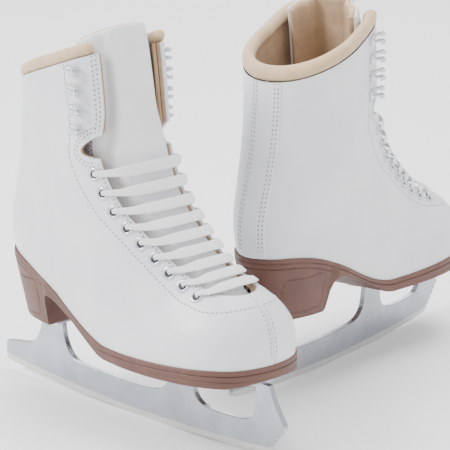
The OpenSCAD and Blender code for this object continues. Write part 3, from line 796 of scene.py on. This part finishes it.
def collar(skate):
    """The soft roll round the back of the opening, with rounded ends."""
    q = section(1)
    start = plain_edge(1) + 4
    n, k = 220, 30
    v = np.concatenate([-np.linspace(start, 180, n // 2), np.linspace(180, start, n // 2)[1:]])
    path = np.array([skin(q, abs(a), 3.7, LATERAL if a < 0 else MEDIAL, 0.0) for a in v])
    s = run(path)
    end = np.minimum(s, s[-1] - s)
    size = np.sqrt(1 - (1 - clamp01(end / 5.0)) ** 2)
    rise = COLLAR_H / 2
    ang = np.arange(k) * 2 * np.pi / k
    rows = []
    for i, a in enumerate(v):
        side = LATERAL if a < 0 else MEDIAL
        soft = 1 + 0.02 * math.sin(s[i] * 0.21) + 0.015 * math.sin(s[i] * 0.53 + 1)
        c = 4.4 * size[i] * np.cos(ang) * soft
        ring = skin(q, abs(a), 3.7 - c, side, 0.0)
        ring[:, 2] += rise * (1 + size[i] * np.sin(ang)) - 0.7
        rows.append(ring)
    rows = np.array(rows)
    faces = grid_faces(len(v), k, close=True)
    return solid("collar", skate, rows.reshape(-1, 3), faces, M_ROLL, slot="beige_roll",
                 replaces=["collar_roll"], recalc=True, sharp=0)


def backstay(skate):
    """The strip up the back seam."""
    us = np.linspace(1, 7.06, 90)
    ss = np.concatenate([np.array([0, 0, 0.12, 0.4, 0.8]) - BACKSTAY_HALF, [-10, -8, -6, -4, -2, 0]])
    ds = np.array([0.3, -0.35, -0.75, -1.0, -1.13] + [BACKSTAY_D] * 6)
    ss, ds = np.concatenate([ss, -ss[-2::-1]]), np.concatenate([ds, ds[-2::-1]])
    rows = []
    for u in us:
        vs, cum = arc(u)
        q = section(u)
        rows.append([skin(q, float(np.interp(cum[-1] - abs(s), cum, vs)), d,
                          LATERAL if s < 0 else MEDIAL, 0.0) for s, d in zip(ss, ds)])
    rows = np.array(rows)
    return solid("backstay", skate, rows.reshape(-1, 3), grid_faces(len(us), len(ss)), M_LEATHER,
                 slot="white_leather", replaces=["backstay"], flip=True, sharp=50)


def tongue_edge(u):
    """Angle of the tongue's side edge."""
    return max(plain_edge(u) + mix(21, 15, float(smooth((u - 3) / 2))), 24)


def tongue_depth(u, a):
    """Inset of the tongue, deeper where its wings pass under the facings."""
    wing = max(float(smooth((a - plain_edge(u) + 15) / 11)), float(smooth((u - 10) / 0.8)))
    return mix(3.4, 9.0, wing)


def tongue_sheet(skate, name, d0, d1, inset, material, slot, nodes, seams=False, puff=0.0):
    """One padded layer of the tongue with soft rounded edges; it bends at the ankle."""
    cols = np.concatenate([[0, 0.004, 0.012, 0.025, 0.045, 0.07], np.linspace(0.1, 1.9, 54),
                           [1.93, 1.955, 1.975, 1.988, 1.996, 2]]) - 1
    rows = np.concatenate([[0, 0.001, 0.003, 0.006, 0.011, 0.018], np.linspace(0.028, 0.975, 110),
                           [0.985, 0.992, 0.997, 1]])
    half, n, m = (d1 - d0) / 2, len(rows), len(cols)
    out, inn = np.zeros((n, m, 3)), np.zeros((n, m, 3))
    for i, s in enumerate(rows):
        for j, t in enumerate(cols):
            k = abs(t) * (1 - inset)
            u = mix(TONGUE_TOP + inset * 0.5 + 0.22 * k * k, TONGUE_TOE, s)
            e = tongue_edge(u)
            a = e * k
            width = arc_of(u, e)
            near = min((1 - abs(t)) * width, s * TONGUE_L, (1 - s) * TONGUE_L)
            h = half * math.sqrt(max(0.0, 1 - (1 - min(near / 3.2, 1)) ** 2))
            mid = tongue_depth(u, a) + (d0 + d1) / 2
            swell = puff * float(smooth(near / 14))
            side = LATERAL if t < 0 else MEDIAL
            q = section(u)
            groove = 0.9 * math.exp(-((abs(t) * width - 13) / 0.9) ** 2) if seams else 0.0
            out[i, j] = skin(q, a, mid - h - swell, side, 0.0)
            inn[i, j] = skin(q, a, mid + h - groove, side, 0.0)
    verts = np.concatenate([out.reshape(-1, 3), inn.reshape(-1, 3)])
    rim = lambda i, j: i in (0, n - 1) or j in (0, m - 1)
    back = lambda i, j: i * m + j + (0 if rim(i, j) else n * m)
    faces = grid_faces(n, m)
    faces += [(back(i, j), back(i, j + 1), back(i + 1, j + 1), back(i + 1, j))
              for i in range(n - 1) for j in range(m - 1)]
    used = sorted({i for f in faces for i in f})
    where = {v: k for k, v in enumerate(used)}
    faces = [tuple(where[i] for i in f) for f in faces]
    o = solid(name, skate, verts[used], faces, material, slot=slot, replaces=nodes, recalc=True,
              sharp=0, ride=False)
    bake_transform(o)
    return o


def binding(skate):
    """The soft piping along the top of the tongue."""
    t = np.linspace(-0.93, 0.93, 90)
    path = []
    for x in t:
        k = abs(x)
        u = TONGUE_TOP + 0.22 * k * k
        a = tongue_edge(u) * k
        path.append(skin(section(u), a, tongue_depth(u, a) + 4.0, LATERAL if x < 0 else MEDIAL, 0.0)
                    - [0, 0, 1.6])
    path = np.array(path)
    up = np.tile([0.0, 0.0, 1.0], (len(path), 1))
    a, b = ring_frames(path, up)
    s = run(path)
    size = np.sqrt(np.maximum(1 - (1 - clamp01(np.minimum(s, s[-1] - s) / 1.5)) ** 2, 0.02))
    v, f = sweep(path, a, b, disc()[None] * (size * 2.3)[:, None, None])
    return solid("tongue_binding", skate, v, f, M_ROLL, slot="beige_roll", body=f"{skate}_tongue",
                 recalc=True, sharp=0)


# ---------------------------------------------------------------- stitches
class Seams:
    """Rows of sunk stitches on the leather: a thread for each, with a small dark disc at each end as
    painted shade of its needle hole.
    """

    def __init__(self):
        self.heap = Heap()

    def row(self, us, arcs, side, d=0.0):
        p = np.array([point(u, a, d, side) for u, a in zip(us, arcs)])
        q, t = resample(p, STITCH / 2)
        s = run(p)
        uu, aa = np.interp(t, s, us), np.interp(t, s, arcs)
        for i in range(1, len(q) - 1, 2):
            c = q[i]
            along = q[i + 1] - q[i - 1]
            along /= np.linalg.norm(along) + 1e-9
            n = skin_frame(float(uu[i]), float(at_arc(float(uu[i]), float(aa[i]))), side)[3]
            n = n - along * np.dot(n, along)
            n /= np.linalg.norm(n)
            self.stitch(c, along, np.cross(along, n), n)

    def stitch(self, c, along, w, n):
        ring = np.arange(6) * np.pi / 3
        v = []
        for x, r in ((-1, 0.15), (-0.7, 0.8), (0, 1.0), (0.7, 0.8), (1, 0.15)):
            for a in ring:
                v.append(c + along * x * STITCH * 0.35 + w * 0.42 * r * math.cos(a)
                         + n * (0.34 * r * math.sin(a) + 0.1 - 0.12 * x * x))
        f = grid_faces(5, 6, close=True) + [tuple(range(6)), tuple(range(24, 30))]
        self.heap.add(v, f, 0)
        # A small dark disc at each end of the stitch: painted shade of the needle hole, which is not
        # cut.
        for e in (-1, 1):
            m = c + along * e * STITCH * 0.44 + n * 0.06
            v = [m + along * math.cos(a) * 0.48 + w * math.sin(a) * 0.5 for a in ring]
            self.heap.add(v + [m + n * 0.05], [(i, (i + 1) % 6, 6) for i in range(6)], 1)

    def make(self, name, skate):
        return self.heap.make(name, skate, [M_THREAD, M_NEEDLE_HOLE_SHADE], slot="white_lace", recalc=True)


def stitching(skate):
    seams = Seams()
    for side in (LATERAL, MEDIAL):
        us = np.linspace(1.04, 3.2, 60)
        for off in (3.0, 5.6):
            seams.row(us, [arc_of(u, plain_edge(u)) + off for u in us], side)
        th = np.linspace(0.22, math.pi - 0.22, 50)
        for off in (3.0, 5.6):
            us = 3.65 - (0.36 + off / 20.5) * np.cos(th)
            arcs = [arc_of(u, plain_edge(u)) + (NOTCH_DEPTH + off) * math.sin(a) ** 0.8
                    for u, a in zip(us, th)]
            seams.row(us, arcs, side)
        us = np.linspace(4.2, 10.6, 150)
        seams.row(us, [arc_of(u, plain_edge(u)) + 2.4 for u in us], side)
        us, arcs = facing_line()
        seams.row(us, arcs, side)
        us = np.linspace(1.04, 6.9, 90)
        for off in (9.4, 6.9):
            seams.row(us, [arc(u)[1][-1] - off for u in us], side, d=BACKSTAY_D)
        us = np.linspace(12.15, 14.8, 40)
        seams.row(us, [2.3] * len(us), side)
    return seams.make("stitching", skate)


def facing_line():
    """Edge of the facing: back from the throat, then round in front of it."""
    us = np.linspace(1.04, FACING_TURN, 110)
    arcs = [arc_of(u, plain_edge(u)) + mix(29, 17.5, float(smooth((u - 1) / 8))) for u in us]
    th = np.linspace(0, math.pi / 2 - 0.02, 40)
    front = FACING_TURN + (FACING_END - FACING_TURN) * np.sin(th)
    fa = arcs[-1] * np.cos(th) ** 0.9
    return np.concatenate([us, front[1:]]), np.concatenate([arcs, fa[1:]])


# ---------------------------------------------------------------- eyelets and hooks
def eyelets(skate):
    heap = Heap()
    rim = [(2.4, -4.4), (2.35, 0.1), (2.5, 0.65), (2.8, 0.95), (3.2, 1.08), (3.7, 1.0), (4.1, 0.75),
           (4.35, 0.4), (4.4, 0.12), (2.9, 0.05), (2.85, -4.4), (2.4, -4.4)]
    # A dark disc filling each eyelet's hole: painted shade of the hole round the lace.
    shade = [(0.02, 0.2), (1.2, 0.2), (2.36, 0.2), (2.36, 0.05), (0.02, 0.05)]
    for side in (LATERAL, MEDIAL):
        for i in range(EYELET_N):
            p, t, _, n = skin_frame(eyelet_u(i), eyelet_v(i), side)
            heap.add(*revolve(rim, p, t, n, 28))
            heap.add(*revolve(shade, p, t, n, 20), 1)
    return heap.make("eyelet_rims", skate, [M_LACQUER, M_EYELET_HOLE_SHADE], slot="white_lacquer",
                     replaces=["eyelets"], recalc=True, sharp=60)


def hooks(skate):
    heap = Heap()
    dome = [(0.01, 2.1), (0.8, 2.05), (1.6, 1.8), (2.3, 1.35), (2.75, 0.8), (2.9, 0.3), (2.9, 0.12),
            (3.6, 0.12), (3.6, -0.05), (0.01, -0.05)]
    shank = [(1.6, 0.1), (1.6, -4.0), (0.01, -4.0)]
    base = [(-0.75, -3.2), (0.75, -3.2), (1, -2.4), (1, 3.2), (0.75, 4), (-0.75, 4), (-1, 3.2),
            (-1, -2.4)]
    curl = through([[-2.4, 0.5], [0.5, 0.6], [4.0, 0.9], [7.4, 1.6], [9.8, 3.2], [10.2, 5.1],
                    [8.6, 6.2], [6.4, 5.9], [5.2, 4.9]], 5)
    for side in (LATERAL, MEDIAL):
        for i in range(HOOK_N):
            p, t, r, n = skin_frame(hook_u(i), hook_v(i), side)
            heap.add(*revolve(dome, p, t, n, 24))
            heap.add(*revolve(shank, p, t, n, 16))
            for lane in (-1, 1):
                path = p + r * curl[:, :1] + n * curl[:, 1:2]
                spread = np.linspace(0, 1, len(curl)) ** 0.7
                path = path + t * (lane * (1.7 + 1.25 * spread))[:, None]
                a, b = ring_frames(path, np.tile(t, (len(path), 1)))
                w = 2.9 - 0.4 * spread
                ring = flat_ring(14)[None] * np.stack([w, np.full(len(w), 1.05)], -1)[:, None]
                heap.add(*sweep(path, a, b, ring))
            pad = [p + t * (2.9 * x) + r * y + n * z for z in (0.12, 0.9) for x, y in base]
            heap.add(pad, [tuple(range(8)), tuple(range(15, 7, -1))]
                     + [(k, (k + 1) % 8, 8 + (k + 1) % 8, 8 + k) for k in range(8)])
    return heap.make("lacing_hooks", skate, [M_LACQUER], slot="white_lacquer", replaces=["hooks"],
                     recalc=True, sharp=50)


def gusset(skate):
    """Fine net behind the flex notch, against the tongue's side."""
    heap = Heap()
    for side in (LATERAL, MEDIAL):
        for d in (8.62, 8.86):
            grid = [[point(u, arc_of(u, plain_edge(u)) + x, d, side) for x in np.linspace(-1, 19, 22)]
                    for u in np.linspace(3.2, 4.1, 24)]
            heap.add(np.reshape(grid, (-1, 3)), grid_faces(24, 22))
    return heap.make("notch_net", skate, [M_NET], slot="beige_lining", sharp=0)


# ---------------------------------------------------------------- sole and blade
# The underside from heel to toe: x, z.
BOTTOM = np.array([[18, 92], [20, 82], [22, 73], [24, 66], [26, 59], [28, HEEL_Z], [30, HEEL_Z],
                   [71, HEEL_Z], [72, 54], [73, 66], [74.5, 71.5], [76, 74.8], [78, 76.4], [80, 77],
                   [84, 76.3], [88, 75], [99, 71], [111, 66], [122, 60], [131, 55.4],
                   [139, SOLE_Z + 1], [146, SOLE_Z], [242, SOLE_Z], [249, SOLE_Z + 1.2],
                   [258, SOLE_Z + 4]])


def sole(skate):
    """Sole and heel in one: two mirrored walls, closed along the middle at the top and below."""
    tip = [[252.7, 13.4], [253.4, 10.4], [253.9, 7], [254.2, 3.5], [254.3, 0.0]]
    half = np.vstack([outline(-WELT, 300), tip])
    x, w = half[:, 0], half[:, 1]
    s = np.concatenate([[0], np.cumsum(np.hypot(np.diff(x), np.diff(w)))])
    t = s[-1] * np.unique(np.concatenate([np.linspace(0, 1, 190), np.linspace(0, 0.04, 12),
                                          np.linspace(0.96, 1, 20)]))
    x, w = np.interp(t, s, x), np.interp(t, s, w)
    w[0] = w[-1] = 0.0
    n, k = len(x), 96
    h = np.linspace(0, 1, k)
    top = feather(x)
    low = np.interp(x, BOTTOM[:, 0], BOTTOM[:, 1])
    low = np.where(x < 30, HEEL_Z, low)
    heel = 1 - smooth((x - 71) / 9)
    # The wall's own lines: z down from the feather, the heel's taper, then grooves and panel.
    z = top[:, None] + (low - top)[:, None] * h[None]
    fall = clamp01((94 - z) / 41) * heel[:, None]
    narrow = 1 - fall * 0.24
    xb = x[:, None] + (76 - x[:, None]) * fall * 0.17
    wy = w[:, None] * narrow
    drop = top[:, None] - z
    tall = smooth((top - low - 8) / 5)[:, None]
    cut = np.exp(-((drop - 3.4) / 0.4) ** 2) + np.exp(-((drop - 7.0) / 0.42) ** 2) * tall
    px, pz = np.abs(xb - 50) - 12, np.abs(z - 70 - 0.12 * np.maximum(xb - 50, 0)) - 8.5
    border = np.hypot(np.maximum(px, 0), np.maximum(pz, 0)) + np.minimum(np.maximum(px, pz), 0) - 4
    cut = cut + np.exp(-(border / 0.45) ** 2) * (heel[:, None] > 0.9)
    round_low = np.maximum(1.3 - (z - low[:, None]), 0) / 1.3
    inward = 0.65 * clamp01(cut) + 1.3 * (1 - np.sqrt(np.maximum(1 - round_low ** 2, 0)))
    inward = inward + 0.5 * np.maximum(1 - drop / 0.7, 0) ** 2
    tx, tw = np.gradient(x), np.gradient(w)
    norm = np.hypot(tx, tw) + 1e-9
    nx, ny = -tw / norm, tx / norm
    wall_x = xb - inward * nx[:, None]
    wall_y = np.maximum(wy - inward * ny[:, None], 0.0)
    wall_y[0] = wall_y[-1] = 0
    v = [np.stack([wall_x, side * wall_y + middle_y(wall_x), z], -1).reshape(-1, 3)
         for side in (LATERAL, MEDIAL)]
    f = grid_faces(n, k) + grid_faces(n, k, base=n * k)
    for e in (0, k - 1):
        f += [(i * k + e, (i + 1) * k + e, n * k + (i + 1) * k + e, n * k + i * k + e)
              for i in range(n - 1)]
    return solid("sole", skate, np.concatenate(v), f, M_SOLE, slot="brown_sole",
                 replaces=["sole_unit"], recalc=True, sharp=40)


def bevel(o, width, **limits):
    mod = o.modifiers.new("edge", "BEVEL")
    mod.width, mod.segments, mod.limit_method = width, 2, "ANGLE"
    for k, v in limits.items():
        setattr(mod, k, v)


def blade(skate):
    """One flat outline, pushed out to both sides."""
    top, tip = np.array([BLADE_L - 0.5, 22.0]), np.array([249.5, 6.0])
    edge = tip - top
    inward = np.array([edge[1], -edge[0]]) / np.linalg.norm(edge)
    rear, front, tip_foot = [(38.5, 51), (60, 51)], [(164, 49), (187, 49)], [(239.5, 49), (251, 49)]
    tail = [(0.6, 8.9), (0, 12), (0, 20.5), (1.5, 22), (14, 23.5), (26, 25.5), (32, 29.5), (37, 39)]
    rear_arch = [(58.5, 46), (60.5, 35), (66, 26), (74, 22), (100, 21), (130, 21), (150, 22),
                 (158, 26), (162.5, 33)]
    front_arch = [(183.5, 40), (183.5, 31), (187, 25), (194, 21.4), (212, 21), (229, 21.6),
                  (236.5, 25), (240, 33)]
    flat = (tail + rear + rear_arch + front + front_arch + tip_foot
            + [(256, 37), (BLADE_L, 26), (BLADE_L, 23)])
    hard = {*rear, *front, *tip_foot}
    for _ in range(3):
        new = []
        for i, p in enumerate(flat):
            if i in (0, len(flat) - 1) or p in hard:
                new.append(p)
                continue
            a, b = flat[i - 1], flat[i + 1]
            new += [tuple(0.75 * p[j] + 0.25 * e[j] for j in (0, 1)) for e in (a, b)]
        flat = new
    out = list(flat)
    for i in range(5):
        out.append(tuple(top + edge * (i + 0.35) / 5 + inward * 1.7))
        out.append(tuple(top + edge * (i + 1) / 5))
    out += [(246, 4.9), (244, 4.5), (240, 3.9), (236, 3.6), (232, 3.2)]
    for x in np.linspace(228, 3, 90):
        out.append((x, ROCKER_R - math.sqrt(ROCKER_R ** 2 - (x - ROCKER_X) ** 2)))
    n = len(out)
    v = [(x, y, z) for y in (-BLADE_T / 2, BLADE_T / 2) for x, z in out]
    f = [tuple(range(n)), tuple(range(2 * n - 1, n - 1, -1))]
    f += [(i, i + n, (i + 1) % n + n, (i + 1) % n) for i in range(n)]
    o = solid("blade_body", skate, v, f, M_BLADE, slot="blade_steel", replaces=["blade"],
              recalc=True, sharp=30)
    bevel(o, 0.00035, angle_limit=math.radians(60))
    return o


# ---------------------------------------------------------------- the pair
U_SHEET = np.unique(np.concatenate([
    np.linspace(1, 3.29, 40), 3.65 - 0.36 * np.cos(np.linspace(0, np.pi, 30)),
    np.linspace(4.01, 10.95, 110)]))
U_LINING = np.unique(np.concatenate([U_SHEET, np.linspace(10.95, 14.5, 50)]))
KEPT = {"sole_plate": M_PLATE, "heel_plate": M_PLATE, "sole_plate_screws": M_SCREW,
        "heel_plate_screws": M_SCREW, "shank": M_SHANK, "insole_board": M_BOARD, "footbed": M_FOOTBED,
        "heel_counter": M_STIFF, "toe_puff": M_STIFF}

for skate in ("right", "left"):
    lace(skate)
for skate in ("right", "left"):
    for side, name in ((LATERAL, "lateral"), (MEDIAL, "medial")):
        upper(side, skate)
        layer(side, skate, f"{name}_eyestay", [f"{name}_eyestay"], *EYESTAY_D, U_SHEET, 20,
              "white_leather", inner_to=25)
    for side, name in ((LATERAL, "lateral"), (MEDIAL, "medial")):
        layer(side, skate, f"{name}_lining", ["lining"] if side == LATERAL else [], 4.05, LINING_D,
              U_LINING, 25, "beige_lining", lip=1.3, deep=6.0)
    roll = collar(skate)
    backstay(skate)
    tongue = tongue_sheet(skate, "tongue", 0.0, 3.2, 0.0, M_TONGUE, "white_leather",
                          ["tongue_base", "tongue_top"], puff=0.5)
    tongue_sheet(skate, "tongue_lining", 2.2, 6.75, 0.002, M_TONGUE_LINING, "beige_lining",
                 ["tongue_base_lining", "tongue_top_lining"], seams=True)
    binding(skate)
    stitching(skate)
    eyelets(skate)
    hooks(skate)
    gusset(skate)
    sole(skate)
    blade(skate)
    for node, material in KEPT.items():
        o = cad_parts[f"{skate}_{node}"]
        o.data.materials.clear()
        o.data.materials.append(material)
        if node in ("sole_plate", "heel_plate"):
            bevel(o, 0.0003)

# ---------------------------------------------------------------- floor and light
bpy.ops.mesh.primitive_plane_add(size=12)
floor = bpy.context.object
floor.name = "floor"
ground = bpy.data.materials.new("floor")
ground.use_nodes = True
ground_bsdf = ground.node_tree.nodes["Principled BSDF"]
ground_bsdf.inputs["Base Color"].default_value = (0.93, 0.93, 0.93, 1)
ground_bsdf.inputs["Roughness"].default_value = 0.6
floor.data.materials.append(ground)
LIGHTS = (("key", (-0.9, -1.5, 1.5), 0.8, 62), ("side", (1.6, 0.3, 1.0), 0.9, 9),
          ("top", (0.0, 0.4, 2.0), 1.2, 34), ("back", (-1.2, 1.2, 0.9), 1.0, 8))
for name, place, size, power in LIGHTS:
    data = bpy.data.lights.new(name, "AREA")
    data.energy = power
    data.size = size
    o = bpy.data.objects.new(name, data)
    bpy.context.scene.collection.objects.link(o)
    o.location = place
    o.rotation_euler = (Vector((0, 0, 0.1)) - Vector(place)).to_track_quat("-Z", "Y").to_euler()
world = bpy.data.worlds.new("world")
world.use_nodes = True
background = world.node_tree.nodes["Background"]
background.inputs["Color"].default_value = (1, 1, 1, 1)
background.inputs["Strength"].default_value = 1.3
bpy.context.scene.world = world
